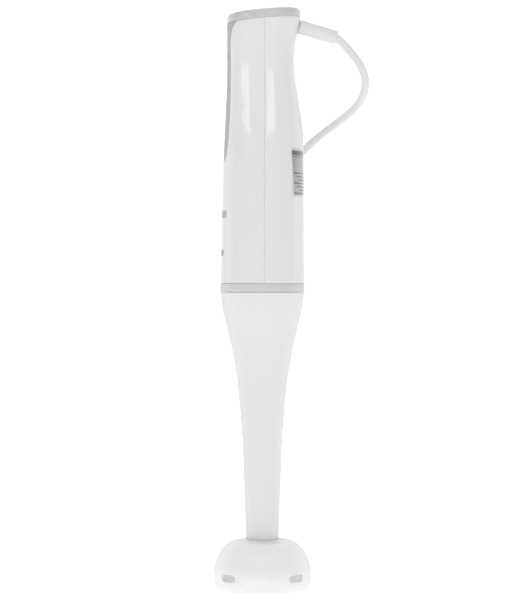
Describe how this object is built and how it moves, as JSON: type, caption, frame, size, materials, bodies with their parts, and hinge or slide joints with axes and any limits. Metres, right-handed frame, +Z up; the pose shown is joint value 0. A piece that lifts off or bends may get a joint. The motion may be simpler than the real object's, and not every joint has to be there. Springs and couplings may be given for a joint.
{
  "type": "immersion blender",
  "caption": "Slim immersion blender: waisted motor handle with front buttons, twist-off tapered wand, domed blade guard, rear mains cord.",
  "frame": {"origin": "on the wand's axis, at the foot of the blade guard, where the blender stands", "axes": "+Z up along the wand, towards the motor unit; -Y towards the buttons, +Y towards the cord's exit"},
  "size_m": [0.1883, 0.1018, 0.3758],
  "materials": {
    "white_shell": "glossy moulded ABS, white",
    "white_wand": "satin moulded polypropylene, white",
    "grey_trim": "satin silver-grey plastic",
    "grey_panel": "soft matt grey plastic",
    "label": "printed label film",
    "print": "pad-printed grey ink",
    "lamination": "stacked electrical steel",
    "copper": "enamelled copper wire",
    "bronze": "sintered bronze",
    "steel": "ground steel",
    "carbon": "pressed carbon",
    "brass": "stamped brass",
    "black_plastic": "glass-filled nylon",
    "rubber": "moulded rubber",
    "board": "printed circuit board",
    "capacitor": "moulded film capacitor case",
    "natural_plastic": "natural acetal",
    "lead": "insulated wire",
    "cord": "flexible PVC, white"
  },
  "bodies": {
    "motor_unit": {"front_housing": "white_shell", "rear_housing": "white_shell", "top_cap": "grey_trim", "control_strip": "grey_panel", "coupling_ring": "grey_trim", "rating_label": "label", "front_marks": "print", "stator_core": "lamination", "field_coils": "copper", "lower_bracket": "black_plastic", "upper_bracket": "black_plastic", "motor_bushes": "bronze", "motor_bolts": "steel", "motor_mounts": "rubber", "brush_holders": "brass", "carbon_brushes": "carbon", "brush_springs": "steel", "switch_board": "board", "micro_switches": "black_plastic", "suppression_capacitor": "capacitor", "cord_clamp": "natural_plastic", "clamp_screws": "steel", "internal_leads": "lead", "strain_relief": "cord", "speed_spring": "steel", "turbo_spring": "steel", "cord_tube": "cord", "cord_coil": "cord", "cord_tail": "cord", "plug_body": "cord", "plug_blades": "brass"},
    "speed_button": {"speed_button": "grey_panel"},
    "turbo_button": {"turbo_button": "grey_panel"},
    "rotor": {"motor_shaft": "steel", "armature_core": "lamination", "armature_windings": "copper", "commutator": "copper", "cooling_fan": "black_plastic", "drive_coupler": "black_plastic"},
    "wand": {"wand_tube": "white_wand", "blade_guard": "white_wand", "bush_carrier": "natural_plastic", "wand_bushes": "bronze", "shaft_seal": "rubber"},
    "blade_drive": {"drive_shaft": "steel", "driven_coupler": "black_plastic", "blade_hub": "natural_plastic", "blade": "steel", "blade_nut": "steel"}
  },
  "joints": [
    {"name": "speed_press", "type": "slide", "parent": "motor_unit", "child": "speed_button", "axis": [0, 1, 0], "range_m": [0, 0.002], "stiffness_N_per_m": 900, "deforming": ["speed_spring"]},
    {"name": "turbo_press", "type": "slide", "parent": "motor_unit", "child": "turbo_button", "axis": [0, 1, 0], "range_m": [0, 0.002], "stiffness_N_per_m": 900, "deforming": ["turbo_spring"]},
    {"name": "rotor_spin", "type": "hinge", "parent": "motor_unit", "child": "rotor", "pos_m": [0, 0, 0.245], "axis": [0, 0, 1], "continuous": true},
    {"name": "wand_twist", "type": "hinge", "parent": "motor_unit", "child": "wand", "pos_m": [0, 0, 0.2], "axis": [0, 0, 1], "range_deg": [0, 25]},
    {"name": "blade_spin", "type": "hinge", "parent": "wand", "child": "blade_drive", "pos_m": [0, 0, 0.1], "axis": [0, 0, 1], "continuous": true}
  ],
  "couplings": [
    {"joint": "blade_spin", "follows": "rotor_spin", "ratio": 1}
  ]
}
